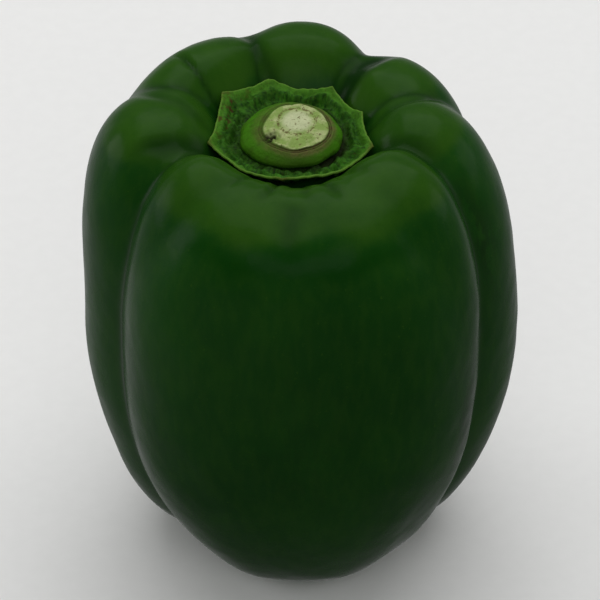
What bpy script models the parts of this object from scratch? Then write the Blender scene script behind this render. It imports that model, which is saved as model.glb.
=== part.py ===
"""Green bell pepper with its calyx and a short cut stem.

Metres, +Z up.  The origin lies on the surface that the pepper stands on, under the middle of the
fruit's outline.  The wide front lobe faces -Y.
"""

import math
from typing import NamedTuple

import bmesh
import bpy
import numpy as np
from mathutils import Vector
from mathutils.bvhtree import BVHTree

MM = 0.001
GAP = 0.4 * MM

# The fruit, in millimetres.
GIRTH_HEIGHT = 54.0
TOP_HEIGHT = 104.0
LOBE_PLAN_POWER = 2.2
CREASE_SHARPNESS = 40.0
CENTRE_OVERLAP = 3.0
SHOULDER_TUCK = 2.0
SHOULDER_SPREAD_POWER = 1.5
INNER_AXIS_POWER = 1.2
TAPER_POWER = 1.6
BODY_HALF_X = 27.0
BODY_HALF_Y = 28.0
BODY_TOP = 93.4
BODY_BOTTOM = 10.0
BODY_POWER = 3.0
MERIDIANS = 80
PARALLELS = 42
OUTER_LIMIT = 85.0
MARCH_STEPS = 170
BISECTIONS = 22


class Lobe(NamedTuple):
    """One carpel bulge: lengths in millimetres, azimuth in degrees from +X towards +Y."""

    azimuth: float
    axis_at_girth: float
    axis_at_top: float
    reach: float
    half_width: float
    inner_at_top: float
    top: float
    foot: float
    upper_power: float
    lower_power: float
    taper: float


LOBES = (
    Lobe(-92, 16.0, 23.2, 40.6, 33.0, 12.2, 98.8, -0.8, 2.6, 2.2, 0.145),
    Lobe(-117, 16.2, 23.1, 39.7, 20.0, 11.9, 99.8, 0.5, 2.4, 2.2, 0.15),
    Lobe(-67, 16.5, 22.4, 40.1, 20.0, 11.9, 100.0, 0.5, 2.5, 2.2, 0.14),
    Lobe(-141, 16.5, 23.0, 38.8, 16.0, 11.6, 101.0, 3.0, 2.15, 2.3, 0.16),
    Lobe(-43, 17.0, 21.3, 40.3, 17.0, 11.6, 101.5, 3.0, 2.4, 2.3, 0.135),
    Lobe(5, 19.0, 20.6, 42.4, 20.0, 11.0, 101.0, -0.8, 2.25, 2.3, 0.08),
    Lobe(43, 17.0, 22.8, 39.8, 20.5, 10.2, 100.7, 1.5, 2.4, 2.5, 0.06),
    Lobe(90, 18.0, 25.4, 38.3, 19.5, 8.6, 102.0, -0.8, 2.6, 2.5, 0.06),
    Lobe(133, 18.0, 26.2, 38.6, 27.0, 7.5, 101.6, 1.5, 2.5, 2.5, 0.06),
    Lobe(177, 19.0, 25.3, 41.8, 20.5, 9.6, 101.7, -0.8, 2.6, 2.4, 0.09),
)

# The calyx, in millimetres: a thin dish with nine tips, given as azimuth and radius.
CALYX_X = -1.9
CALYX_Y = 1.4
CALYX_TIPS = (
    (-166, 15.6),
    (-126, 15.2),
    (-95, 15.7),
    (-52, 15.0),
    (-18, 16.0),
    (24, 14.5),
    (59, 15.4),
    (105, 16.1),
    (140, 16.7),
)
CALYX_FLOOR = 95.0
CALYX_RIM = 97.0
CALYX_THICKNESS = 1.1
CALYX_FLAT_RADIUS = 10.6
CALYX_TIP_RISE = 0.5
CALYX_DISH_POWER = 1.4
CALYX_SIDES = 72
CALYX_RINGS = 7

# The stem stub, in millimetres: radius and height above the calyx at each level.
STEM_X = -1.7
STEM_Y = 0.6
STEM_PROFILE = ((8.9, 0.0), (9.3, 0.5), (9.1, 1.4), (8.3, 2.4), (7.5, 3.2), (7.1, 3.7), (6.6, 4.0))
STEM_SIDES = 40
STEM_OVAL = 0.03
STEM_RIBS = 5
STEM_RIB_DEPTH = 0.02


def clear_scene():
    """Remove every object that the scene starts with."""
    for item in list(bpy.data.objects):
        bpy.data.objects.remove(item, do_unlink=True)


def principled(name, colour, roughness):
    """A plain material; colour is linear RGB."""
    material = bpy.data.materials.new(name)
    material.use_nodes = True
    shader = material.node_tree.nodes["Principled BSDF"]
    shader.inputs["Base Color"].default_value = (*colour, 1.0)
    shader.inputs["Roughness"].default_value = roughness
    shader.inputs["Metallic"].default_value = 0.0
    return material


def add_object(name, shape, material, location):
    """Turn a bmesh into a smooth-shaded object of the scene."""
    mesh = bpy.data.meshes.new(name)
    shape.to_mesh(mesh)
    shape.free()
    mesh.materials.append(material)
    mesh.shade_smooth()
    item = bpy.data.objects.new(name, mesh)
    item.location = location
    bpy.context.collection.objects.link(item)
    return item


def lobe_depth(lobe, x, y, z):
    """Below zero inside the lobe: a superellipsoid about an axis that leans out towards the top."""
    rise = np.clip((z - GIRTH_HEIGHT) / (TOP_HEIGHT - GIRTH_HEIGHT), 0.0, 1.0)
    fall = np.clip((GIRTH_HEIGHT - z) / GIRTH_HEIGHT, 0.0, 1.0)
    narrowing = 1.0 - lobe.taper * fall**TAPER_POWER
    angle = math.radians(lobe.azimuth)
    axis = lobe.axis_at_girth + (lobe.axis_at_top - lobe.axis_at_girth) * rise**SHOULDER_SPREAD_POWER
    along = (x * math.cos(angle) + y * math.sin(angle)) / narrowing - axis
    across = (y * math.cos(angle) - x * math.sin(angle)) / narrowing
    outer = lobe.reach - lobe.axis_at_girth - SHOULDER_TUCK * rise
    inner_girth = lobe.axis_at_girth + CENTRE_OVERLAP
    inner = inner_girth + (lobe.inner_at_top - inner_girth) * rise**INNER_AXIS_POWER
    semi_axis = np.where(along > 0.0, outer, inner)
    above = z > GIRTH_HEIGHT
    power = np.where(above, lobe.upper_power, lobe.lower_power)
    half_height = np.where(above, lobe.top - GIRTH_HEIGHT, GIRTH_HEIGHT - lobe.foot)
    plan = np.abs(along / semi_axis) ** LOBE_PLAN_POWER
    plan = plan + np.abs(across / lobe.half_width) ** LOBE_PLAN_POWER
    height = np.abs((z - GIRTH_HEIGHT) / half_height) ** power
    return (plan ** (power / LOBE_PLAN_POWER) + height) ** (1.0 / power) - 1.0


def body_depth(x, y, z):
    """Below zero inside the plain body that the lobes share."""
    half_height = np.where(z > GIRTH_HEIGHT, BODY_TOP - GIRTH_HEIGHT, GIRTH_HEIGHT - BODY_BOTTOM)
    plan = (x / BODY_HALF_X) ** 2 + (y / BODY_HALF_Y) ** 2
    height = np.abs((z - GIRTH_HEIGHT) / half_height) ** BODY_POWER
    return (plan ** (BODY_POWER / 2) + height) ** (1.0 / BODY_POWER) - 1.0


def fruit_depth(points):
    """Below zero inside the fruit: the lobes and the body, blended where they meet."""
    x, y, z = points[:, 0], points[:, 1], points[:, 2]
    parts = [lobe_depth(lobe, x, y, z) for lobe in LOBES]
    parts.append(body_depth(x, y, z))
    parts = np.array(parts)
    nearest = parts.min(axis=0)
    blend = np.exp(-CREASE_SHARPNESS * (parts - nearest)).sum(axis=0)
    return nearest - np.log(blend) / CREASE_SHARPNESS


def fruit_surface(directions):
    """Where rays from the middle of the fruit last leave it, flattened at the standing surface."""
    centre = np.array((0.0, 0.0, GIRTH_HEIGHT))
    inside = np.zeros(len(directions))
    for distance in np.linspace(0.0, OUTER_LIMIT, MARCH_STEPS):
        is_inside = fruit_depth(centre + distance * directions) < 0.0
        inside = np.where(is_inside, distance, inside)
    outside = inside + OUTER_LIMIT / (MARCH_STEPS - 1)
    for _ in range(BISECTIONS):
        middle = 0.5 * (inside + outside)
        is_inside = fruit_depth(centre + middle[:, None] * directions) < 0.0
        inside = np.where(is_inside, middle, inside)
        outside = np.where(is_inside, outside, middle)
    downward = np.minimum(directions[:, 2], -1e-9)
    distance = np.minimum(outside, GIRTH_HEIGHT / -downward)
    return centre + distance[:, None] * directions


def build_fruit():
    """The whole fruit as one closed skin: a sphere whose points move out to the lobes."""
    shape = bmesh.new()
    bmesh.ops.create_uvsphere(shape, u_segments=MERIDIANS, v_segments=PARALLELS, radius=1.0)
    directions = np.array([vertex.co.normalized()[:] for vertex in shape.verts])
    for vertex, place in zip(shape.verts, fruit_surface(directions)):
        vertex.co = Vector(place) * MM
    skin = principled("pepper_skin", (0.020, 0.060, 0.009), 0.30)
    return add_object("fruit", shape, skin, (0.0, 0.0, 0.0))


def rim_radius(angle):
    """Distance to the calyx's edge, which runs straight from each tip to the next, in mm."""
    tips = [(math.radians(azimuth), radius) for azimuth, radius in CALYX_TIPS]
    turn = 2.0 * math.pi
    for number, (start, start_radius) in enumerate(tips):
        end, end_radius = tips[(number + 1) % len(tips)]
        span = (end - start) % turn
        offset = (angle - start) % turn
        if offset <= span:
            area = start_radius * end_radius * math.sin(span)
            return area / (start_radius * math.sin(offset) + end_radius * math.sin(span - offset))
    return tips[0][1]


def calyx_height(radius, edge):
    """Height of the dish's upper face: flat under the stem, then rising to the rim, in mm."""
    share = max(0.0, (radius - CALYX_FLAT_RADIUS) / (edge - CALYX_FLAT_RADIUS))
    shortest = min(tip_radius for _, tip_radius in CALYX_TIPS)
    rim = CALYX_RIM + CALYX_TIP_RISE * (edge - shortest)
    return CALYX_FLOOR + (rim - CALYX_FLOOR) * share**CALYX_DISH_POWER


def build_calyx(fruit):
    """A thin dish laid on the crown: where the fruit stands higher, the dish lies on it."""
    tree = BVHTree.FromObject(fruit, bpy.context.evaluated_depsgraph_get())
    shape = bmesh.new()
    layers = ([], [])
    for ring in range(CALYX_RINGS):
        rows = ([], [])
        for side in range(CALYX_SIDES):
            angle = 2.0 * math.pi * side / CALYX_SIDES
            edge = rim_radius(angle)
            radius = edge * (ring + 1) / CALYX_RINGS
            x = radius * math.cos(angle)
            y = radius * math.sin(angle)
            start = Vector(((CALYX_X + x) * MM, (CALYX_Y + y) * MM, 2.0 * TOP_HEIGHT * MM))
            fruit_height = tree.ray_cast(start, Vector((0.0, 0.0, -1.0)))[0].z
            under = (calyx_height(radius, edge) - CALYX_THICKNESS) * MM
            under = max(under, fruit_height + GAP)
            for row, height in zip(rows, (under, under + CALYX_THICKNESS * MM)):
                row.append(shape.verts.new((x * MM, y * MM, height)))
        for layer, row in zip(layers, rows):
            layer.append(row)
    for layer in layers:
        shape.faces.new(layer[0])
        for inner, outer in zip(layer, layer[1:]):
            bridge_rows(shape, inner, outer)
    bridge_rows(shape, layers[0][-1], layers[1][-1])
    bmesh.ops.triangulate(shape, faces=[face for face in shape.faces if len(face.verts) > 4])
    bmesh.ops.recalc_face_normals(shape, faces=shape.faces)
    green = principled("calyx_green", (0.050, 0.110, 0.020), 0.55)
    return add_object("calyx", shape, green, (CALYX_X * MM, CALYX_Y * MM, 0.0))


def bridge_rows(shape, first, second):
    """Close the band between two rings with the same number of points."""
    count = len(first)
    for index in range(count):
        following = (index + 1) % count
        shape.faces.new((first[index], first[following], second[following], second[index]))


def stem_outline(angle):
    """How far the stem's section swells or narrows at this angle, as a factor."""
    oval = STEM_OVAL * math.cos(2.0 * angle)
    return 1.0 + oval + STEM_RIB_DEPTH * math.cos(STEM_RIBS * angle)


def build_stem():
    """The squat stub left when the fruit was cut off, widest just above the calyx."""
    shape = bmesh.new()
    rows = []
    for radius, height in STEM_PROFILE:
        row = []
        for side in range(STEM_SIDES):
            angle = 2.0 * math.pi * side / STEM_SIDES
            reach = radius * stem_outline(angle) * MM
            row.append(shape.verts.new((reach * math.cos(angle), reach * math.sin(angle), height * MM)))
        rows.append(row)
    for lower, upper in zip(rows, rows[1:]):
        bridge_rows(shape, lower, upper)
    shape.faces.new(rows[0])
    shape.faces.new(rows[-1])
    bmesh.ops.recalc_face_normals(shape, faces=shape.faces)
    cut = principled("stem_cut", (0.300, 0.340, 0.180), 0.70)
    base = CALYX_FLOOR * MM + GAP
    return add_object("stem", shape, cut, (STEM_X * MM, STEM_Y * MM, base))


def stand_over_origin(fruit, carried):
    """Let the fruit carry its calyx and stem, and bring the middle of its outline over the origin."""
    for item in carried:
        item.parent = fruit
    corners = np.array([corner[:] for corner in fruit.bound_box])
    middle = 0.5 * (corners.min(axis=0) + corners.max(axis=0))
    fruit.location = (-middle[0], -middle[1], 0.0)


clear_scene()
fruit_object = build_fruit()
calyx_object = build_calyx(fruit_object)
stem_object = build_stem()
stand_over_origin(fruit_object, (calyx_object, stem_object))
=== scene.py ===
"""Green bell pepper: the fine surface, materials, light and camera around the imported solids."""

import math
from typing import NamedTuple

import bpy
import numpy as np
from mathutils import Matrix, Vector
from mathutils.bvhtree import BVHTree


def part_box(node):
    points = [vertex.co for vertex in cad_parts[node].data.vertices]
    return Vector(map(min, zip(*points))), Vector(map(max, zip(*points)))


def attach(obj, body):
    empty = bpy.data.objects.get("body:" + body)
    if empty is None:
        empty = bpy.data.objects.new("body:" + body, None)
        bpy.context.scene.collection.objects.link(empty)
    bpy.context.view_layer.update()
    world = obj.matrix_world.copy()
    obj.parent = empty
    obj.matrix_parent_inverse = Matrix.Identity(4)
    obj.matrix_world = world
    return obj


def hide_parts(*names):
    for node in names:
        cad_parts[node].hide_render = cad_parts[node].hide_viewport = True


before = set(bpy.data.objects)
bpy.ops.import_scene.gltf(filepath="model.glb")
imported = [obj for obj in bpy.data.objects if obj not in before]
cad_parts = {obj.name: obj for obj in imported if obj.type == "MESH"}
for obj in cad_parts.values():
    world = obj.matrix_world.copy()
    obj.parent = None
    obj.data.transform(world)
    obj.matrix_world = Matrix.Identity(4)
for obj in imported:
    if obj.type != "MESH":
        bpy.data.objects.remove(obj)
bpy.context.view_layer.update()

MM = 0.001
FULL_TURN = 2.0 * math.pi

# ---------------------------------------------------------------------------------------------
# Dimensions, in millimetres unless the name says otherwise
# ---------------------------------------------------------------------------------------------

# Fruit: the same rule as the solid's, meshed finely.
GIRTH_HEIGHT = 54.0
TOP_HEIGHT = 104.0
LOBE_PLAN_POWER = 2.2
CREASE_SHARPNESS = 36.0
CENTRE_OVERLAP = 3.0
SHOULDER_TUCK = 2.0
SHOULDER_SPREAD_POWER = 1.5
INNER_AXIS_POWER = 1.2
TAPER_POWER = 1.6
BODY_HALF_X = 27.0
BODY_HALF_Y = 28.0
BODY_TOP = 93.4
BODY_BOTTOM = 10.0
BODY_POWER = 3.0
# Heights over which the painted highlight on the top fades out.
CROWN_HIGHLIGHT_START = 95.0
CROWN_HIGHLIGHT_END = 97.3
# Height and half height of the painted shade band below the front shoulder.
SHADE_BAND_HEIGHT = 93.8
SHADE_BAND_HALF_HEIGHT = 2.0
CUBE_CELLS = 126
NEAREST_SURFACE = 24.0
FURTHEST_SURFACE = 66.0
MARCH_STEPS = 56
BISECTIONS = 16


class Lobe(NamedTuple):
    """One carpel bulge: azimuth in degrees from +X towards +Y."""

    azimuth: float
    axis_at_girth: float
    axis_at_top: float
    reach: float
    half_width: float
    inner_at_top: float
    top: float
    foot: float
    upper_power: float
    lower_power: float
    taper: float


# The first five lobes share one broad bulge, so no crease is painted between them.
FRONT_LOBES = 5
LOBES = (
    Lobe(-92, 16.0, 23.2, 40.6, 33.0, 12.2, 98.8, -0.8, 2.6, 2.2, 0.145),
    Lobe(-117, 16.2, 23.1, 39.7, 20.0, 11.9, 99.8, 0.5, 2.4, 2.2, 0.15),
    Lobe(-67, 16.5, 22.4, 40.1, 20.0, 11.9, 100.0, 0.5, 2.5, 2.2, 0.14),
    Lobe(-141, 16.5, 23.0, 38.8, 16.0, 11.6, 101.0, 3.0, 2.15, 2.3, 0.16),
    Lobe(-43, 17.0, 21.3, 40.3, 17.0, 11.6, 101.5, 3.0, 2.4, 2.3, 0.135),
    Lobe(5, 19.0, 20.6, 42.4, 20.0, 11.0, 101.0, -0.8, 2.25, 2.3, 0.08),
    Lobe(43, 17.0, 22.8, 39.8, 20.5, 10.2, 100.7, 1.5, 2.4, 2.5, 0.06),
    Lobe(90, 18.0, 25.4, 38.3, 19.5, 8.6, 102.0, -0.8, 2.6, 2.5, 0.06),
    Lobe(133, 18.0, 26.2, 38.6, 27.0, 7.5, 101.6, 1.5, 2.5, 2.5, 0.06),
    Lobe(177, 19.0, 25.3, 41.8, 20.5, 9.6, 101.7, -0.8, 2.6, 2.4, 0.09),
)


class Furrow(NamedTuple):
    """A fine line on the skin from one bearing and radius by the calyx to another on the shoulder."""

    inner_azimuth: float
    outer_azimuth: float
    depth: float
    width: float
    start_radius: float
    end_radius: float


FURROWS = (
    Furrow(147, 137, 0.85, 0.60, 16.0, 32.0),
    Furrow(177, 161, 0.35, 1.20, 16.0, 34.0),
    Furrow(104, 110, 0.60, 1.30, 14.0, 33.0),
    Furrow(54, 51, 1.40, 2.20, 14.0, 32.0),
    Furrow(-159, -160, 0.90, 1.80, 15.0, 32.0),
    Furrow(-17, -20, 0.70, 1.60, 15.0, 30.0),
    Furrow(8, 25, 0.40, 1.30, 15.0, 36.0),
    Furrow(-91, -91, 0.50, 2.00, 27.0, 39.0),
    Furrow(-55, -50, 0.35, 1.10, 17.0, 26.0),
    Furrow(-73, -68, 0.60, 0.90, 17.0, 28.0),
    Furrow(-84, -82, 0.45, 1.10, 17.0, 26.0),
    Furrow(-98, -103, 0.55, 1.00, 17.0, 27.0),
    Furrow(-112, -121, 0.40, 1.00, 16.0, 26.0),
)


class Bruise(NamedTuple):
    """A patch of dark mottling on the side of the fruit."""

    azimuth: float
    height: float
    half_width: float
    half_height: float
    strength: float


GIRTH_RADIUS = 41.0
BRUISES = (
    Bruise(-38, 48, 3.5, 17.0, 1.0),
    Bruise(-17, 80, 3.5, 12.0, 1.0),
    Bruise(-88, 52, 9.0, 18.0, 0.3),
)

# Calyx: a thin dish with nine tips, given as azimuth, radius and how brown each is.
CALYX_X = -1.9
CALYX_Y = 1.4
CALYX_TIPS = (
    (-166, 15.6, 0.7),
    (-126, 15.2, 0.1),
    (-95, 15.9, 0.8),
    (-52, 15.2, 0.1),
    (-18, 16.0, 0.8),
    (24, 14.5, 0.1),
    (59, 15.4, 0.2),
    (105, 16.1, 0.1),
    (140, 16.7, 0.4),
)
CALYX_FLOOR = 95.0
CALYX_RIM = 96.7
CALYX_THICKNESS = 1.0
CALYX_RIM_THICKNESS = 0.55
CALYX_FLAT_RADIUS = 9.4
CALYX_INNER_RADIUS = 6.0
CALYX_RIM_STEPS = 5
CALYX_SIDES = 360
CALYX_RINGS = 44
CALYX_CLEARANCE = 0.25
CALYX_EDGE_HOLLOW = 0.35
CALYX_TYPICAL_EDGE = 15.2
CALYX_TIP_RISE = 0.4
CALYX_DISH_POWER = 1.7
CALYX_LIP = 0.40
CALYX_RIPPLE = 0.38
CALYX_FOLD = 0.28
CALYX_CRUMPLE = 0.24
CALYX_CRINKLE = 0.11

# Stem stub: radius and height of its outline, from under its foot to the middle of the cut face.
STEM_OUTLINE = (
    (6.5, 95.0),
    (8.3, 94.9),
    (8.9, 95.2),
    (9.25, 95.8),
    (9.3, 96.4),
    (9.0, 97.1),
    (8.4, 97.7),
    (7.75, 98.2),
    (7.25, 98.5),
    (7.0, 98.75),
    (6.8, 98.85),
    (6.6, 98.65),
    (6.42, 98.95),
    (6.22, 98.75),
    (6.0, 99.2),
    (5.7, 99.32),
    (4.0, 99.38),
    (2.0, 99.42),
    (0.02, 99.42),
)
STEM_FOOT_X = -2.1
STEM_FOOT_Y = 0.7
STEM_TOP_X = -0.9
STEM_TOP_Y = -0.5
STEM_TILT = -0.10
STEM_SIDES = 256
STEM_RINGS = 110
FACE_RADIUS = 6.0
VESSEL_RADIUS = 3.5
HEART_X = 0.2
HEART_Y = 1.3
NOTCH_AZIMUTH = -148.0
NOTCH_RADIUS = 5.3
NOTCH_DEPTH = 0.75
VESSEL_DEPTH = 0.12
GROOVE_RADII = (6.6, 6.22)
GROOVE_WIDTH = 0.13


def main():
    """Build the three pieces, hide the solid each one replaces, and set up the studio."""
    fruit, shift = build_fruit()
    calyx = build_calyx(fruit, shift)
    stem = build_stem(shift)
    for piece, node, slot_name in (
        (fruit, "fruit", "skin"),
        (calyx, "calyx", "calyx"),
        (stem, "stem", "stem"),
    ):
        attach(piece, "root")
        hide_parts(node)
    build_studio()


# ---------------------------------------------------------------------------------------------
# Shared shape tools
# ---------------------------------------------------------------------------------------------


def waves(points, wavelength, seed, count=24):
    """Smooth unevenness of about unit size, the same on each run, at points given in mm."""
    generator = np.random.default_rng(seed)
    directions = generator.normal(size=(count, 3))
    directions /= np.linalg.norm(directions, axis=1)[:, None]
    rates = FULL_TURN / wavelength * generator.uniform(0.6, 1.4, count)
    phases = generator.uniform(0.0, FULL_TURN, count)
    return np.sin(points @ (directions * rates[:, None]).T + phases).sum(axis=1) * math.sqrt(2.0 / count)


def ramp_up(value, start, end):
    """0 below start, 1 above end, and a smooth step between."""
    share = np.clip((value - start) / (end - start), 0.0, 1.0)
    return share * share * (3.0 - 2.0 * share)


def bell(value, width):
    """1 at zero, falling off smoothly over the width."""
    return np.exp(-((value / width) ** 2))


def angle_between(first, second):
    """Signed difference of two angles in radians, from -pi to pi."""
    return (first - second + math.pi) % FULL_TURN - math.pi


def make_piece(name, points, faces, material, attributes):
    """A smooth-shaded mesh object from points in mm, with named values at its points."""
    mesh = bpy.data.meshes.new(name)
    mesh.from_pydata((points * MM).tolist(), [], faces)
    mesh.update()
    mesh.shade_smooth()
    for label, values in attributes.items():
        layer = mesh.attributes.new(label, "FLOAT", "POINT")
        layer.data.foreach_set("value", values.astype(np.float32))
    mesh.materials.append(material)
    item = bpy.data.objects.new(name, mesh)
    bpy.context.collection.objects.link(item)
    return item


def ring_faces(rings, sides, closed=False):
    """Quads between neighbouring rings of a grid, facing away from the side the rings turn about."""
    faces = []
    for ring in range(rings if closed else rings - 1):
        for side in range(sides):
            here = ring * sides + side
            beside = ring * sides + (side + 1) % sides
            above = ((ring + 1) % rings) * sides + side
            above_beside = ((ring + 1) % rings) * sides + (side + 1) % sides
            faces.append((here, beside, above_beside, above))
    return faces


# ---------------------------------------------------------------------------------------------
# Fruit
# ---------------------------------------------------------------------------------------------


def lobe_depth(lobe, x, y, z):
    """Below zero inside the lobe: a superellipsoid about an axis that leans out towards the top."""
    rise = np.clip((z - GIRTH_HEIGHT) / (TOP_HEIGHT - GIRTH_HEIGHT), 0.0, 1.0)
    fall = np.clip((GIRTH_HEIGHT - z) / GIRTH_HEIGHT, 0.0, 1.0)
    narrowing = 1.0 - lobe.taper * fall**TAPER_POWER
    angle = math.radians(lobe.azimuth)
    axis = lobe.axis_at_girth + (lobe.axis_at_top - lobe.axis_at_girth) * rise**SHOULDER_SPREAD_POWER
    along = (x * math.cos(angle) + y * math.sin(angle)) / narrowing - axis
    across = (y * math.cos(angle) - x * math.sin(angle)) / narrowing
    outer = lobe.reach - lobe.axis_at_girth - SHOULDER_TUCK * rise
    inner_girth = lobe.axis_at_girth + CENTRE_OVERLAP
    inner = inner_girth + (lobe.inner_at_top - inner_girth) * rise**INNER_AXIS_POWER
    semi_axis = np.where(along > 0.0, outer, inner)
    above = z > GIRTH_HEIGHT
    power = np.where(above, lobe.upper_power, lobe.lower_power)
    half_height = np.where(above, lobe.top - GIRTH_HEIGHT, GIRTH_HEIGHT - lobe.foot)
    plan = np.abs(along / semi_axis) ** LOBE_PLAN_POWER
    plan = plan + np.abs(across / lobe.half_width) ** LOBE_PLAN_POWER
    height = np.abs((z - GIRTH_HEIGHT) / half_height) ** power
    return (plan ** (power / LOBE_PLAN_POWER) + height) ** (1.0 / power) - 1.0


def body_depth(x, y, z):
    """Below zero inside the plain body that the lobes share."""
    half_height = np.where(z > GIRTH_HEIGHT, BODY_TOP - GIRTH_HEIGHT, GIRTH_HEIGHT - BODY_BOTTOM)
    plan = (x / BODY_HALF_X) ** 2 + (y / BODY_HALF_Y) ** 2
    height = np.abs((z - GIRTH_HEIGHT) / half_height) ** BODY_POWER
    return (plan ** (BODY_POWER / 2) + height) ** (1.0 / BODY_POWER) - 1.0


def fruit_depth(points):
    """Below zero inside the fruit: the lobes and the body, blended where they meet."""
    x, y, z = points[:, 0], points[:, 1], points[:, 2]
    parts = [lobe_depth(lobe, x, y, z) for lobe in LOBES]
    parts.append(body_depth(x, y, z))
    parts = np.array(parts)
    nearest = parts.min(axis=0)
    blend = np.exp(-CREASE_SHARPNESS * (parts - nearest)).sum(axis=0)
    return nearest - np.log(blend) / CREASE_SHARPNESS


def cube_sphere(cells):
    """Directions spread evenly over a sphere, and the quads between them."""
    steps = np.tan(np.linspace(-math.pi / 4.0, math.pi / 4.0, cells + 1))
    u, v = np.meshgrid(steps, steps, indexing="ij")
    one = np.ones_like(u)
    sheets = ((one, u, v), (-one, v, u), (v, one, u), (u, -one, v), (u, v, one), (v, u, -one))
    corner = np.arange((cells + 1) ** 2).reshape(cells + 1, cells + 1)
    quad = np.stack((corner[:-1, :-1], corner[1:, :-1], corner[1:, 1:], corner[:-1, 1:]), axis=-1)
    points = np.concatenate([np.stack(sheet, axis=-1).reshape(-1, 3) for sheet in sheets])
    quads = np.concatenate([quad.reshape(-1, 4) + face * corner.size for face in range(len(sheets))])
    points /= np.linalg.norm(points, axis=1)[:, None]
    _, first, inverse = np.unique(points.round(7), axis=0, return_index=True, return_inverse=True)
    return points[first], inverse.reshape(-1)[quads]


def fruit_surface(directions):
    """The middle of the fruit, and how far from it a ray in each direction last leaves the skin."""
    centre = np.array((0.0, 0.0, GIRTH_HEIGHT))
    inside = np.full(len(directions), NEAREST_SURFACE)
    step = (FURTHEST_SURFACE - NEAREST_SURFACE) / MARCH_STEPS
    for number in range(MARCH_STEPS + 1):
        distance = NEAREST_SURFACE + number * step
        is_inside = fruit_depth(centre + distance * directions) < 0.0
        inside = np.where(is_inside, distance, inside)
    outside = inside + step
    for _ in range(BISECTIONS):
        middle = 0.5 * (inside + outside)
        is_inside = fruit_depth(centre + middle[:, None] * directions) < 0.0
        inside = np.where(is_inside, middle, inside)
        outside = np.where(is_inside, outside, middle)
    return centre, inside


def furrow_depth(points):
    """How deep the fine lines over the shoulders cut the skin at each point."""
    x = points[:, 0] - CALYX_X
    y = points[:, 1] - CALYX_Y
    radius = np.hypot(x, y)
    angle = np.arctan2(y, x)
    on_crown = ramp_up(points[:, 2], GIRTH_HEIGHT + 24.0, GIRTH_HEIGHT + 38.0)
    total = np.zeros(len(points))
    for furrow in FURROWS:
        along = ramp_up(radius, furrow.start_radius, furrow.end_radius)
        turn = furrow.inner_azimuth + (furrow.outer_azimuth - furrow.inner_azimuth) * along
        wander = 0.02 * waves(points, 11.0, seed=int(furrow.inner_azimuth) + 400, count=6)
        offset = angle_between(angle, np.radians(turn) + wander)
        aside = radius * np.sin(offset)
        reach = ramp_up(radius, furrow.start_radius - 3.0, furrow.start_radius)
        reach = reach * (1.0 - ramp_up(radius, 0.8 * furrow.end_radius, furrow.end_radius))
        total += furrow.depth * bell(aside, furrow.width) * reach * on_crown * (np.cos(offset) > 0.0)
    return total


def crown_puckers(points):
    """Small folds of the skin where the front of the crown tucks in under the calyx."""
    x = points[:, 0] - CALYX_X
    y = points[:, 1] - CALYX_Y
    radius = np.hypot(x, y)
    angle = np.arctan2(y, x)
    folds = np.sin(23.0 * angle + 1.5 * waves(points, 9.0, seed=61, count=8))
    front = bell(angle_between(angle, math.radians(-88.0)), math.radians(45.0))
    ring = ramp_up(radius, 12.5, 16.0) * (1.0 - ramp_up(radius, 18.5, 24.0))
    return (0.06 + 0.20 * front) * folds * ring * (points[:, 2] > GIRTH_HEIGHT)


def build_fruit():
    """The whole skin: the lobed form with its furrows, puckers and gentle unevenness."""
    directions, quads = cube_sphere(CUBE_CELLS)
    centre, distance = fruit_surface(directions)
    plain = centre + distance[:, None] * directions
    furrows = furrow_depth(plain)
    relief = 0.20 * waves(plain, 34.0, seed=11) + 0.04 * waves(plain, 13.0, seed=12)
    relief += 0.012 * waves(plain, 5.0, seed=13)
    relief += crown_puckers(plain) - furrows
    away_from_foot = ramp_up(plain[:, 2], 1.0, 8.0)
    distance = distance + relief * away_from_foot
    downward = np.minimum(directions[:, 2], -1e-9)
    distance = np.minimum(distance, GIRTH_HEIGHT / -downward)
    points = centre + distance[:, None] * directions
    attributes = {
        # Painted shade: masks for the dark furrows and the valleys between lobes.
        "furrow": np.clip(furrows / 1.1, 0.0, 1.0),
        "crease_shade": creases(plain),
        # Painted highlight on the top, then painted shade in a band below the front shoulder.
        "crown": crown_highlight(plain),
        "band": shoulder_shade_band(plain),
        "bruise": bruises(plain),
    }
    low, high = (np.array(corner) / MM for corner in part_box("fruit"))
    shift = 0.5 * (low + high) - 0.5 * (points.min(axis=0) + points.max(axis=0))
    shift[2] = 0.0
    return make_piece("pepper_skin", points + shift, quads.tolist(), skin_material(), attributes), shift


def crown_highlight(points):
    """1 on the top of the fruit, which is painted lighter and yellower as a highlight over the shoulders;
    it ends in an uneven line below them.
    """
    height = points[:, 2] + 0.7 * waves(points, 12.0, seed=51, count=10)
    return ramp_up(height, CROWN_HIGHLIGHT_START, CROWN_HIGHLIGHT_END)


def shoulder_shade_band(points):
    """1 in the painted shade: a deeper green band just below the front shoulder's painted highlight."""
    angle = np.arctan2(points[:, 1], points[:, 0])
    height = points[:, 2] + 0.5 * waves(points, 12.0, seed=51, count=10)
    across = bell(angle_between(angle, math.radians(-92.0)), math.radians(42.0))
    return bell(height - SHADE_BAND_HEIGHT, SHADE_BAND_HALF_HEIGHT) * across


def bruises(points):
    """Strength of the dark mottling at each point."""
    angle = np.arctan2(points[:, 1], points[:, 0])
    total = np.zeros(len(points))
    for bruise in BRUISES:
        aside = angle_between(angle, math.radians(bruise.azimuth)) * GIRTH_RADIUS
        above = points[:, 2] - bruise.height
        patch = bell(aside, bruise.half_width) * bell(above, bruise.half_height)
        total = np.maximum(total, bruise.strength * patch)
    return total


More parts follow.
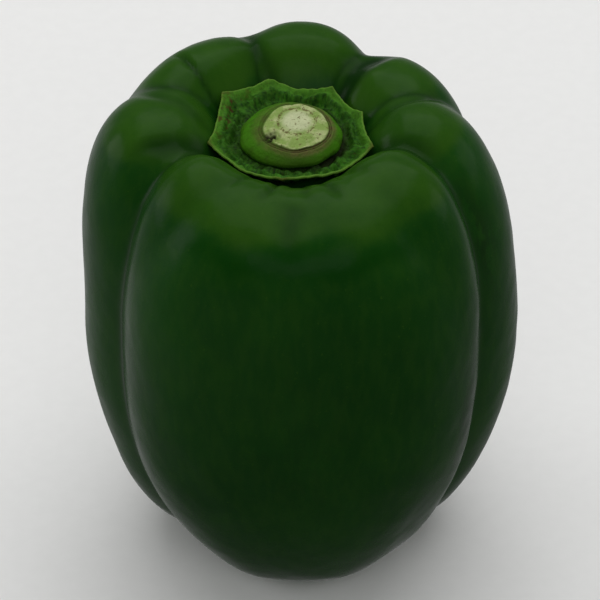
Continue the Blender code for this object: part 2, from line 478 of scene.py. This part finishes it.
def creases(points):
    """1 in the bottom of the valleys between lobes, where shade is painted, 0 on their backs."""
    x, y, z = points[:, 0], points[:, 1], points[:, 2]
    depths = np.array([lobe_depth(lobe, x, y, z) for lobe in LOBES])
    front = depths[:FRONT_LOBES].min(axis=0)
    parts = np.sort(np.vstack((front, depths[FRONT_LOBES:])), axis=0)
    return np.exp(-14.0 * (parts[1] - parts[0])) * ramp_up(parts[0], -0.01, 0.025)


# ---------------------------------------------------------------------------------------------
# Calyx
# ---------------------------------------------------------------------------------------------


def rim_radius(angles):
    """Distance to the calyx's edge, which runs nearly straight from each tip to the next."""
    result = np.zeros_like(angles)
    for number, (azimuth, start_radius, _) in enumerate(CALYX_TIPS):
        end_azimuth, end_radius, _ = CALYX_TIPS[(number + 1) % len(CALYX_TIPS)]
        start = math.radians(azimuth)
        span = math.radians((end_azimuth - azimuth) % 360.0)
        offset = (angles - start) % FULL_TURN
        area = start_radius * end_radius * math.sin(span)
        chord = area / (start_radius * np.sin(offset) + end_radius * np.sin(span - offset))
        hollow = CALYX_EDGE_HOLLOW * np.sin(math.pi * offset / span)
        result = np.where(offset <= span, chord - hollow, result)
    return result


def tip_share(angles, half_angle, by_brown=False):
    """1, or its brownness, at each tip of the calyx, and 0 between tips."""
    total = np.zeros_like(angles)
    for azimuth, _, brown in CALYX_TIPS:
        strength = brown if by_brown else 1.0
        total += strength * bell(angle_between(angles, math.radians(azimuth)), math.radians(half_angle))
    return total


def dish_height(radius, edge, angles):
    """Height of the dish's upper face, with its ripples, folds and upturned rim."""
    share = np.clip((radius - CALYX_FLAT_RADIUS) / (edge - CALYX_FLAT_RADIUS), 0.0, 1.0)
    around = np.stack((radius * np.cos(angles), radius * np.sin(angles), np.zeros_like(angles)), axis=-1)
    rim = CALYX_RIM + CALYX_TIP_RISE * (edge - CALYX_TYPICAL_EDGE)
    rim = rim + 0.25 * waves(around, 16.0, seed=31, count=8)
    height = CALYX_FLOOR + (rim - CALYX_FLOOR) * share**CALYX_DISH_POWER
    height += CALYX_LIP * ramp_up(share, 0.80, 1.0)
    middle = ramp_up(share, 0.02, 0.2) * (1.0 - ramp_up(share, 0.72, 0.92))
    ripple = np.sin(FULL_TURN * 2.1 * share + 1.4 * waves(around, 11.0, seed=32, count=8))
    fold = np.sin(17.0 * angles + 2.0 * waves(around, 9.0, seed=33, count=8))
    height += middle * (CALYX_RIPPLE * ripple + CALYX_FOLD * fold)
    crumple = CALYX_CRUMPLE * waves(around, 2.6, seed=34)
    crinkle = CALYX_CRINKLE * waves(around, 1.2, seed=35)
    height += middle * (crumple + crinkle)
    height += 0.05 * waves(around, 1.6, seed=36) * ramp_up(share, 0.7, 0.9)
    height += 0.25 * tip_share(angles, 7.0) * ramp_up(share, 0.55, 1.0)
    return height, share


def build_calyx(fruit, shift):
    """The wrinkled dish round the stem, laid on the crown wherever the skin stands higher."""
    tree = BVHTree.FromObject(fruit, bpy.context.evaluated_depsgraph_get())
    angles = np.arange(CALYX_SIDES) * FULL_TURN / CALYX_SIDES
    circle = np.stack((15.0 * np.cos(angles), 15.0 * np.sin(angles), 0.0 * angles), axis=-1)
    edge = rim_radius(angles) + 0.05 * waves(circle, 4.0, seed=37) + 0.02 * waves(circle, 1.5, seed=38)
    upper = []
    lower = []
    shares = []
    for ring in range(CALYX_RINGS):
        radius = CALYX_INNER_RADIUS + (edge - CALYX_INNER_RADIUS) * ring / (CALYX_RINGS - 1)
        height, share = dish_height(radius, edge, angles)
        thickness = CALYX_THICKNESS + (CALYX_RIM_THICKNESS - CALYX_THICKNESS) * share
        x = CALYX_X + shift[0] + radius * np.cos(angles)
        y = CALYX_Y + shift[1] + radius * np.sin(angles)
        skin = np.array([skin_height(tree, px, py) for px, py in zip(x, y)])
        under = np.maximum(height - thickness, skin + CALYX_CLEARANCE)
        upper.append(np.stack((x, y, under + thickness), axis=-1))
        lower.append(np.stack((x, y, under), axis=-1))
        shares.append(share)
    rim = []
    for step in range(1, CALYX_RIM_STEPS):
        turn = math.pi * step / CALYX_RIM_STEPS
        outward = 0.5 * CALYX_RIM_THICKNESS * math.sin(turn)
        blend = 0.5 - 0.5 * math.cos(turn)
        ring = lower[-1] * (1.0 - blend) + upper[-1] * blend
        ring[:, 0] += outward * np.cos(angles)
        ring[:, 1] += outward * np.sin(angles)
        rim.append(ring)
    rings = lower + rim + upper[::-1]
    ring_shares = shares + [shares[-1]] * len(rim) + shares[::-1]
    faces = ring_faces(len(rings), CALYX_SIDES, closed=True)
    share = np.concatenate(ring_shares)
    every_angle = np.tile(angles, len(rings))
    brown = bell(angle_between(every_angle, math.radians(150.0)), math.radians(28.0))
    shade = 0.35 + 0.65 * bell(angle_between(every_angle, math.radians(-35.0)), math.radians(50.0))
    attributes = {
        "share": share,
        "tips": tip_share(every_angle, 5.0, by_brown=True) * ramp_up(share, 0.86, 1.0),
        "brown": brown * ramp_up(share, 0.45, 0.7),
        "shade": shade * (1.0 - ramp_up(share, 0.10, 0.55)),
    }
    return make_piece("calyx_dish", np.concatenate(rings), faces, calyx_material(), attributes)


def skin_height(tree, x, y):
    """Height of the fruit's skin straight below a point, in mm."""
    start = Vector((x * MM, y * MM, 2.0 * TOP_HEIGHT * MM))
    return tree.ray_cast(start, Vector((0.0, 0.0, -1.0)))[0].z / MM


# ---------------------------------------------------------------------------------------------
# Stem
# ---------------------------------------------------------------------------------------------


def stem_outline():
    """The stub's outline as evenly spaced radii and heights, its corners slightly rounded."""
    points = np.array(STEM_OUTLINE)
    lengths = np.concatenate(([0.0], np.cumsum(np.linalg.norm(np.diff(points, axis=0), axis=1))))
    even = np.linspace(0.0, lengths[-1], STEM_RINGS)
    radius = np.interp(even, lengths, points[:, 0])
    height = np.interp(even, lengths, points[:, 1])
    for _ in range(2):
        radius[1:-1] = 0.25 * radius[:-2] + 0.5 * radius[1:-1] + 0.25 * radius[2:]
        height[1:-1] = 0.25 * height[:-2] + 0.5 * height[1:-1] + 0.25 * height[2:]
    return radius, height


def build_stem(shift):
    """The squat stub: a green foot, dried rings round the cut, and the pale cut face."""
    outline_radius, outline_height = stem_outline()
    angles = np.arange(STEM_SIDES) * FULL_TURN / STEM_SIDES
    radius = np.repeat(outline_radius, STEM_SIDES)
    height = np.repeat(outline_height, STEM_SIDES)
    angle = np.tile(angles, STEM_RINGS)
    foot, top = STEM_OUTLINE[0][1], STEM_OUTLINE[-1][1]
    rise = np.clip((height - foot) / (top - foot), 0.0, 1.0)
    on_face = 1.0 - ramp_up(radius, FACE_RADIUS - 0.25, FACE_RADIUS + 0.05)
    on_face *= height > top - 0.6
    around = np.stack((radius * np.cos(angle), radius * np.sin(angle), height), axis=-1)
    swell = 1.0 + 0.025 * np.cos(2.0 * angle + 0.6) + 0.012 * np.cos(5.0 * angle + 1.0)
    swell = swell + 0.012 * waves(around, 6.0, seed=41, count=12) * (1.0 - on_face)
    near_face = ramp_up(rise, 0.75, 0.95)
    swell = swell - 0.09 * near_face * bell(angle_between(angle, math.radians(152.0)), 0.42)
    swell = swell - 0.05 * near_face * bell(angle_between(angle, math.radians(NOTCH_AZIMUTH)), 0.20)
    x = radius * swell * np.cos(angle)
    y = radius * swell * np.sin(angle) * (1.0 + 0.06 * rise)
    z = height - STEM_TILT * y * rise
    z += 0.05 * waves(around, 2.4, seed=42) * (0.4 + on_face)
    z += 0.035 * waves(around, 0.9, seed=43) * on_face
    from_heart = np.hypot(x - HEART_X, y - HEART_Y)
    vessels = bell(from_heart - VESSEL_RADIUS, 0.30) * on_face
    z -= VESSEL_DEPTH * vessels
    notch_angle = math.radians(NOTCH_AZIMUTH)
    along = x * math.cos(notch_angle) + y * math.sin(notch_angle) - NOTCH_RADIUS
    across = y * math.cos(notch_angle) - x * math.sin(notch_angle)
    torn = 1.0 + 0.35 * waves(around, 1.1, seed=44, count=12)
    notch = np.clip(bell(along, 1.25) * bell(across, 0.95) * torn, 0.0, 1.0) * (rise > 0.7)
    z -= NOTCH_DEPTH * notch
    x += STEM_FOOT_X + (STEM_TOP_X - STEM_FOOT_X) * rise + shift[0]
    y += STEM_FOOT_Y + (STEM_TOP_Y - STEM_FOOT_Y) * rise + shift[1]
    grooves = sum(bell(radius - groove, GROOVE_WIDTH) for groove in GROOVE_RADII)
    dried_side = 0.25 + 0.75 * bell(angle_between(angle, math.radians(-40.0)), math.radians(100.0))
    attributes = {
        "face": on_face,
        "collar": ramp_up(rise, 0.66, 0.84) * (1.0 - on_face) * dried_side,
        "groove": np.clip(grooves, 0.0, 1.0) * (rise > 0.6) * (0.3 + 0.7 * dried_side),
        # Painted shade on the side of the stub that faces the front.
        "front": 0.75 * bell(angle_between(angle, math.radians(-88.0)), math.radians(50.0)),
        "vessels": vessels,
        "heart": on_face * (1.0 - ramp_up(from_heart, 0.55 * VESSEL_RADIUS, VESSEL_RADIUS)),
        "notch": np.clip(1.3 * notch, 0.0, 1.0),
    }
    points = np.stack((x, y, z), axis=-1)
    faces = ring_faces(STEM_RINGS, STEM_SIDES)
    faces.append(tuple(reversed(range(STEM_SIDES))))
    faces.append(tuple(range(len(points) - STEM_SIDES, len(points))))
    return make_piece("stem_stub", points, faces, stem_material(), attributes)


# ---------------------------------------------------------------------------------------------
# Materials: colours are linear RGB, texture scales are per metre
# ---------------------------------------------------------------------------------------------

SKIN_DARK = (0.0032, 0.0330, 0.0026)
SKIN_MID = (0.0055, 0.0450, 0.0036)
SKIN_LIGHT = (0.0090, 0.0570, 0.0050)
# Painted highlight colour for the top of the fruit.
SKIN_CROWN_HIGHLIGHT = (0.0225, 0.0760, 0.0042)
SKIN_YELLOW = (0.0330, 0.0950, 0.0070)
# Painted shade colour for the valleys between lobes and the furrows.
SKIN_VALLEY_SHADE = (0.0030, 0.0210, 0.0016)
# Painted shade colour for the band below the front shoulder.
SKIN_SHADE_BAND = (0.0018, 0.0360, 0.0006)
SKIN_BRUISE = (0.0050, 0.0200, 0.0040)
CALYX_DARK = (0.0050, 0.030, 0.0024)
CALYX_INNER = (0.0290, 0.128, 0.0070)
CALYX_PALE = (0.0620, 0.190, 0.0140)
CALYX_BROWN = (0.0550, 0.032, 0.0080)
CALYX_EDGE = (0.1500, 0.260, 0.0400)
CALYX_SHADE = (0.0100, 0.0150, 0.0040)
STEM_GREEN = (0.0430, 0.160, 0.0040)
STEM_STREAK_AND_SHADE = (0.0260, 0.055, 0.0040)
STEM_TAN = (0.1100, 0.105, 0.0320)
STEM_BROWN = (0.0280, 0.018, 0.0060)
FACE_PALE = (0.4000, 0.440, 0.2100)
FACE_GREEN = (0.1900, 0.290, 0.0650)
FACE_HEART = (0.5200, 0.550, 0.3400)
FACE_SPECK = (0.1100, 0.090, 0.0300)
NOTCH_DARK = (0.0180, 0.020, 0.0060)


class Shading:
    """A Principled material and short calls that add its texture nodes."""

    def __init__(self, name, roughness, ior, specular=0.5):
        self.material = bpy.data.materials.new(name)
        self.material.use_nodes = True
        self.tree = self.material.node_tree
        self.shader = self.tree.nodes["Principled BSDF"]
        self.shader.inputs["Roughness"].default_value = roughness
        self.shader.inputs["IOR"].default_value = ior
        self.shader.inputs["Specular IOR Level"].default_value = specular
        self.coordinates = self.tree.nodes.new("ShaderNodeTexCoord").outputs["Object"]

    def link(self, source, target):
        self.tree.links.new(source, target)

    def noise(self, scale, detail=4.0, roughness=0.55, stretch=(1.0, 1.0, 1.0), offset=0.0):
        """Noise from 0 to 1 in the piece's own coordinates, stretched along chosen axes."""
        mapping = self.tree.nodes.new("ShaderNodeMapping")
        mapping.inputs["Scale"].default_value = stretch
        mapping.inputs["Location"].default_value = (offset, 0.7 * offset, 0.4 * offset)
        texture = self.tree.nodes.new("ShaderNodeTexNoise")
        texture.inputs["Scale"].default_value = scale
        texture.inputs["Detail"].default_value = detail
        texture.inputs["Roughness"].default_value = roughness
        self.link(self.coordinates, mapping.inputs["Vector"])
        self.link(mapping.outputs["Vector"], texture.inputs["Vector"])
        return texture.outputs["Fac"]

    def streaks(self, centre, along, scale, detail=4.0):
        """Noise that runs in rays from a centre, slowly changing with the value along the ray."""
        mapping = self.tree.nodes.new("ShaderNodeMapping")
        mapping.inputs["Location"].default_value = (-centre[0], -centre[1], 0.0)
        mapping.inputs["Scale"].default_value = (1.0, 1.0, 0.0)
        spoke = self.tree.nodes.new("ShaderNodeVectorMath")
        spoke.operation = "NORMALIZE"
        outward = self.tree.nodes.new("ShaderNodeCombineXYZ")
        total = self.tree.nodes.new("ShaderNodeVectorMath")
        total.operation = "ADD"
        texture = self.tree.nodes.new("ShaderNodeTexNoise")
        texture.inputs["Scale"].default_value = scale
        texture.inputs["Detail"].default_value = detail
        texture.inputs["Roughness"].default_value = 0.65
        self.link(self.coordinates, mapping.inputs["Vector"])
        self.link(mapping.outputs["Vector"], spoke.inputs[0])
        self.link(along, outward.inputs["Z"])
        self.link(spoke.outputs["Vector"], total.inputs[0])
        self.link(outward.outputs["Vector"], total.inputs[1])
        self.link(total.outputs["Vector"], texture.inputs["Vector"])
        return texture.outputs["Fac"]

    def value(self, label):
        """A value stored at the mesh's points."""
        node = self.tree.nodes.new("ShaderNodeAttribute")
        node.attribute_name = label
        return node.outputs["Fac"]

    def between(self, source, low, high, start=0.0, end=1.0):
        """Maps low..high of the source smoothly to start..end."""
        node = self.tree.nodes.new("ShaderNodeMapRange")
        node.interpolation_type = "SMOOTHSTEP"
        node.inputs["From Min"].default_value = low
        node.inputs["From Max"].default_value = high
        node.inputs["To Min"].default_value = start
        node.inputs["To Max"].default_value = end
        self.link(source, node.inputs["Value"])
        return node.outputs["Result"]

    def math(self, operation, first, second):
        node = self.tree.nodes.new("ShaderNodeMath")
        node.operation = operation
        for socket, item in zip(node.inputs, (first, second)):
            if isinstance(item, (int, float)):
                socket.default_value = item
            else:
                self.link(item, socket)
        return node.outputs["Value"]

    def mix(self, factor, first, second):
        """Blend of two colours, each a constant or another node's output."""
        node = self.tree.nodes.new("ShaderNodeMix")
        node.data_type = "RGBA"
        if isinstance(factor, (int, float)):
            node.inputs["Factor"].default_value = factor
        else:
            self.link(factor, node.inputs["Factor"])
        for socket, item in ((node.inputs["A"], first), (node.inputs["B"], second)):
            if isinstance(item, tuple):
                socket.default_value = (*item, 1.0)
            else:
                self.link(item, socket)
        return node.outputs["Result"]

    def bump(self, height, distance, strength=1.0, under=None):
        """A fine relief of the given depth in metres, on top of another one."""
        node = self.tree.nodes.new("ShaderNodeBump")
        node.inputs["Distance"].default_value = distance
        node.inputs["Strength"].default_value = strength
        self.link(height, node.inputs["Height"])
        if under is not None:
            self.link(under, node.inputs["Normal"])
        return node.outputs["Normal"]

    def finish(self, colour, roughness, normal):
        self.link(colour, self.shader.inputs["Base Color"])
        self.link(roughness, self.shader.inputs["Roughness"])
        self.link(normal, self.shader.inputs["Normal"])
        return self.material


def skin_material():
    """Waxy dark green skin, mottled and yellower in patches, with painted shade in the valleys and
    furrows, a painted highlight on the top and a painted shade band below the front shoulder.
    """
    skin = Shading("pepper_skin", roughness=0.25, ior=1.13)
    broad = skin.between(skin.noise(26.0, detail=3.0), 0.34, 0.66)
    streaks = skin.between(skin.noise(70.0, detail=5.0, stretch=(1.0, 1.0, 0.22), offset=3.0), 0.3, 0.7)
    fine = skin.between(skin.noise(520.0, detail=4.0, stretch=(1.0, 1.0, 0.3), offset=5.0), 0.35, 0.7)
    colour = skin.mix(broad, SKIN_MID, SKIN_LIGHT)
    # Painted highlight: the top is lighter and yellower over the shoulders.
    colour = skin.mix(skin.math("MULTIPLY", skin.value("crown"), 0.85), colour, SKIN_CROWN_HIGHLIGHT)
    colour = skin.mix(skin.math("MULTIPLY", streaks, 0.40), colour, SKIN_DARK)
    colour = skin.mix(skin.math("MULTIPLY", fine, 0.14), colour, SKIN_YELLOW)
    pores = skin.between(skin.noise(1500.0, detail=1.0, offset=9.0), 0.70, 0.80)
    colour = skin.mix(skin.math("MULTIPLY", pores, 0.35), colour, SKIN_YELLOW)
    # Painted shade: a deeper green band under the shoulder's painted highlight.
    colour = skin.mix(skin.math("MULTIPLY", skin.value("band"), 0.9), colour, SKIN_SHADE_BAND)
    mottle = skin.noise(330.0, detail=6.0, roughness=0.7, stretch=(1.0, 1.0, 0.35), offset=11.0)
    mottle = skin.between(mottle, 0.40, 0.62)
    dark_patch = skin.math("MULTIPLY", skin.value("bruise"), skin.between(mottle, 0.0, 1.0, 0.10, 0.65))
    colour = skin.mix(dark_patch, colour, SKIN_BRUISE)
    # Painted shade in the valleys between lobes and in the fine furrows.
    colour = skin.mix(skin.math("MULTIPLY", skin.value("crease_shade"), 0.80), colour, SKIN_VALLEY_SHADE)
    colour = skin.mix(skin.math("MULTIPLY", skin.value("furrow"), 0.95), colour, SKIN_VALLEY_SHADE)
    roughness = skin.between(skin.noise(160.0, detail=5.0, offset=2.0), 0.3, 0.7, 0.20, 0.30)
    normal = skin.bump(skin.noise(1100.0, detail=2.0, offset=7.0), 0.00004, 0.5)
    normal = skin.bump(skin.noise(260.0, detail=3.0, offset=8.0), 0.00009, 0.5, under=normal)
    return skin.finish(colour, roughness, normal)


def calyx_material():
    """Dull leafy green: dark and streaked inside the dish, pale along the rim, brown at the tips."""
    leaf = Shading("calyx_leaf", roughness=0.6, ior=1.35, specular=0.1)
    share = leaf.value("share")
    patches = leaf.between(leaf.noise(330.0, detail=5.0, roughness=0.65), 0.40, 0.62)
    grain = leaf.between(leaf.noise(1500.0, detail=4.0, offset=4.0), 0.3, 0.7)
    centre = (CALYX_X * MM, CALYX_Y * MM)
    rays = leaf.between(leaf.streaks(centre, leaf.math("MULTIPLY", share, 0.16), 26.0), 0.38, 0.62)
    colour = leaf.mix(leaf.math("MULTIPLY", patches, rays), CALYX_DARK, CALYX_INNER)
    colour = leaf.mix(leaf.math("MULTIPLY", rays, 0.4), colour, CALYX_INNER)
    colour = leaf.mix(leaf.math("MULTIPLY", grain, 0.35), colour, CALYX_PALE)
    pale = leaf.math("MULTIPLY", leaf.between(share, 0.66, 0.92), leaf.between(grain, 0.0, 1.0, 0.6, 0.95))
    colour = leaf.mix(pale, colour, CALYX_PALE)
    colour = leaf.mix(leaf.value("shade"), colour, CALYX_SHADE)
    spots = leaf.between(leaf.noise(620.0, detail=5.0, roughness=0.7, offset=6.0), 0.54, 0.62)
    scorch = leaf.math("MULTIPLY", spots, leaf.value("brown"))
    colour = leaf.mix(scorch, colour, CALYX_BROWN)
    scratches = leaf.streaks(centre, leaf.math("MULTIPLY", share, 0.5), 60.0)
    colour = leaf.mix(leaf.between(scratches, 0.60, 0.68, 0.0, 0.8), colour, CALYX_BROWN)
    colour = leaf.mix(leaf.between(share, 0.965, 1.0, 0.0, 0.4), colour, CALYX_EDGE)
    colour = leaf.mix(leaf.math("MULTIPLY", leaf.value("tips"), 0.8), colour, CALYX_BROWN)
    roughness = leaf.between(grain, 0.0, 1.0, 0.5, 0.7)
    normal = leaf.bump(leaf.noise(900.0, detail=5.0, offset=1.0), 0.0003, 0.7)
    return leaf.finish(colour, roughness, normal)


def stem_material():
    """Bright green foot with painted shade on its front, tan collar with brown rings, and a pale pithy cut
    face.
    """
    stub = Shading("stem_stub", roughness=0.6, ior=1.35, specular=0.1)
    streaks = stub.between(stub.noise(420.0, detail=4.0, stretch=(1.0, 1.0, 0.35)), 0.35, 0.68)
    grain = stub.between(stub.noise(2200.0, detail=4.0, offset=3.0), 0.3, 0.7)
    # Darker green streaks, plus painted shade on the front of the stub.
    deep = stub.math("MAXIMUM", stub.math("MULTIPLY", streaks, 0.7), stub.value("front"))
    colour = stub.mix(deep, STEM_GREEN, STEM_STREAK_AND_SHADE)
    scuffs = stub.between(stub.noise(700.0, detail=5.0, roughness=0.7, offset=5.0), 0.42, 0.6)
    collar = stub.math("MULTIPLY", stub.value("collar"), stub.between(scuffs, 0.0, 1.0, 0.55, 1.0))
    colour = stub.mix(collar, colour, STEM_TAN)
    brown = stub.math("MULTIPLY", stub.value("groove"), stub.between(scuffs, 0.0, 1.0, 0.5, 1.0))
    colour = stub.mix(brown, colour, STEM_BROWN)
    blotches = stub.between(stub.noise(380.0, detail=4.0, offset=6.0), 0.40, 0.60)
    pith = stub.mix(stub.math("MULTIPLY", blotches, 0.90), FACE_PALE, FACE_GREEN)
    pith = stub.mix(stub.math("MULTIPLY", grain, 0.50), pith, FACE_GREEN)
    pith = stub.mix(stub.math("MULTIPLY", stub.value("heart"), 0.75), pith, FACE_HEART)
    specks = stub.between(stub.noise(2300.0, detail=2.0, offset=8.0), 0.46, 0.56)
    dotted = stub.math("MULTIPLY", specks, stub.between(stub.value("vessels"), 0.25, 0.8))
    pith = stub.mix(stub.math("MULTIPLY", dotted, 0.85), pith, FACE_SPECK)
    flecks = stub.between(stub.noise(1500.0, detail=3.0, offset=12.0), 0.60, 0.67, 0.0, 0.8)
    pith = stub.mix(flecks, pith, FACE_SPECK)
    colour = stub.mix(stub.value("face"), colour, pith)
    colour = stub.mix(stub.value("notch"), colour, NOTCH_DARK)
    roughness = stub.between(grain, 0.0, 1.0, 0.5, 0.8)
    normal = stub.bump(stub.noise(1700.0, detail=5.0, offset=2.0), 0.0002, 0.8)
    return stub.finish(colour, roughness, normal)


# ---------------------------------------------------------------------------------------------
# Studio: floor, light and camera, in metres and degrees
# ---------------------------------------------------------------------------------------------

AIM = Vector((-0.0003, 0.0035, 0.0548))
CAMERA_AZIMUTH = -90.0
CAMERA_DISTANCE = 0.6
CAMERA_ELEVATION = 40.0
CAMERA_LENS = 184.3
SENSOR_WIDTH = 36.0
FLOOR_SIZE = 6.0
FLOOR_COLOUR = (0.82, 0.82, 0.81)
SKY_SEEN = 0.82
SKY_LIGHT_ABOVE = 0.40
SKY_LIGHT_BELOW = 0.15
SKY_REFLECTED_ABOVE = 0.25
SKY_REFLECTED_LEFT = 0.64
SKY_REFLECTED_RIGHT = 0.28
SKY_REFLECTED_DOWN = 0.17


class Softbox(NamedTuple):
    """A rectangular light that faces the fruit."""

    name: str
    azimuth: float
    elevation: float
    distance: float
    width: float
    height: float
    power: float


SOFTBOXES = (
    Softbox("overhead", 84.0, 68.0, 2.0, 2.4, 2.4, 29.0),
    Softbox("left_side", 166.0, 14.0, 1.1, 0.6, 0.5, 2.1),
    Softbox("right_side", 14.0, 14.0, 1.1, 0.6, 0.5, 1.1),
    Softbox("front", -90.0, 45.0, 1.2, 0.8, 0.45, 1.5),
)


def place_facing(item, target, azimuth, elevation, distance):
    """Put a light or camera at a bearing round the target and turn it to face the target."""
    turn, lift = math.radians(azimuth), math.radians(elevation)
    bearing = Vector((math.cos(turn) * math.cos(lift), math.sin(turn) * math.cos(lift), math.sin(lift)))
    item.location = target + distance * bearing
    item.rotation_euler = (-bearing).to_track_quat("-Z", "Y").to_euler()
    bpy.context.collection.objects.link(item)


def floor_material():
    """Matt pale paper with a barely visible tooth."""
    paper = Shading("floor_paper", roughness=0.9, ior=1.2)
    tint = paper.between(paper.noise(300.0, detail=3.0), 0.3, 0.7)
    darker = tuple(0.985 * part for part in FLOOR_COLOUR)
    colour = paper.mix(tint, FLOOR_COLOUR, darker)
    roughness = paper.between(tint, 0.0, 1.0, 0.85, 0.95)
    return paper.finish(colour, roughness, paper.bump(paper.noise(900.0), 0.00005, 0.3))


def build_floor():
    """A square of paper that takes light and shadow but lends the fruit neither light nor reflection."""
    half = 0.5 * FLOOR_SIZE
    mesh = bpy.data.meshes.new("floor")
    corners = [(-half, -half, 0.0), (half, -half, 0.0), (half, half, 0.0), (-half, half, 0.0)]
    mesh.from_pydata(corners, [], [(0, 1, 2, 3)])
    mesh.materials.append(floor_material())
    floor = bpy.data.objects.new("floor", mesh)
    floor.visible_diffuse = False
    floor.visible_glossy = False
    bpy.context.collection.objects.link(floor)


class Sky:
    """The world's shader: one white backdrop whose strength is built from short calls."""

    def __init__(self):
        self.world = bpy.data.worlds.new("studio")
        self.world.use_nodes = True
        self.tree = self.world.node_tree
        self.path = self.tree.nodes.new("ShaderNodeLightPath").outputs

    def ramp(self, source, low, high, start, end):
        """Maps low..high of the source to start..end; the ends may be values or outputs."""
        node = self.tree.nodes.new("ShaderNodeMapRange")
        for label, item in (("From Min", low), ("From Max", high), ("To Min", start), ("To Max", end)):
            if isinstance(item, (int, float)):
                node.inputs[label].default_value = item
            else:
                self.tree.links.new(item, node.inputs[label])
        self.tree.links.new(source, node.inputs["Value"])
        return node.outputs["Result"]


def build_sky():
    """An even surround: one strength for diffuse light, one for reflections, one for the backdrop."""
    sky = Sky()
    coordinates = sky.tree.nodes.new("ShaderNodeTexCoord")
    direction = sky.tree.nodes.new("ShaderNodeSeparateXYZ")
    sky.tree.links.new(coordinates.outputs["Generated"], direction.inputs["Vector"])
    low = sky.ramp(direction.outputs["X"], -1.0, 1.0, SKY_REFLECTED_LEFT, SKY_REFLECTED_RIGHT)
    low = sky.ramp(direction.outputs["Z"], -0.95, -0.55, SKY_REFLECTED_DOWN, low)
    reflected = sky.ramp(direction.outputs["Z"], -0.1, 0.1, low, SKY_REFLECTED_ABOVE)
    shed = sky.ramp(direction.outputs["Z"], -0.1, 0.1, SKY_LIGHT_BELOW, SKY_LIGHT_ABOVE)
    strength = sky.ramp(sky.path["Is Glossy Ray"], 0.0, 1.0, shed, reflected)
    strength = sky.ramp(sky.path["Is Camera Ray"], 0.0, 1.0, strength, SKY_SEEN)
    surround = sky.tree.nodes["Background"]
    surround.inputs["Color"].default_value = (1.0, 1.0, 1.0, 1.0)
    sky.tree.links.new(strength, surround.inputs["Strength"])
    bpy.context.scene.world = sky.world


def build_studio():
    """The floor, the surround, the soft lights and the camera."""
    build_floor()
    build_sky()
    for box in SOFTBOXES:
        light = bpy.data.lights.new(box.name, "AREA")
        light.shape = "RECTANGLE"
        light.size = box.width
        light.size_y = box.height
        light.energy = box.power
        item = bpy.data.objects.new(box.name, light)
        item.visible_camera = False
        place_facing(item, AIM, box.azimuth, box.elevation, box.distance)
    lens = bpy.data.cameras.new("camera")
    lens.lens = CAMERA_LENS
    lens.sensor_width = SENSOR_WIDTH
    camera = bpy.data.objects.new("camera", lens)
    place_facing(camera, AIM, CAMERA_AZIMUTH, CAMERA_ELEVATION, CAMERA_DISTANCE)
    bpy.context.scene.camera = camera
    bpy.context.scene.view_settings.view_transform = "Standard"


main()
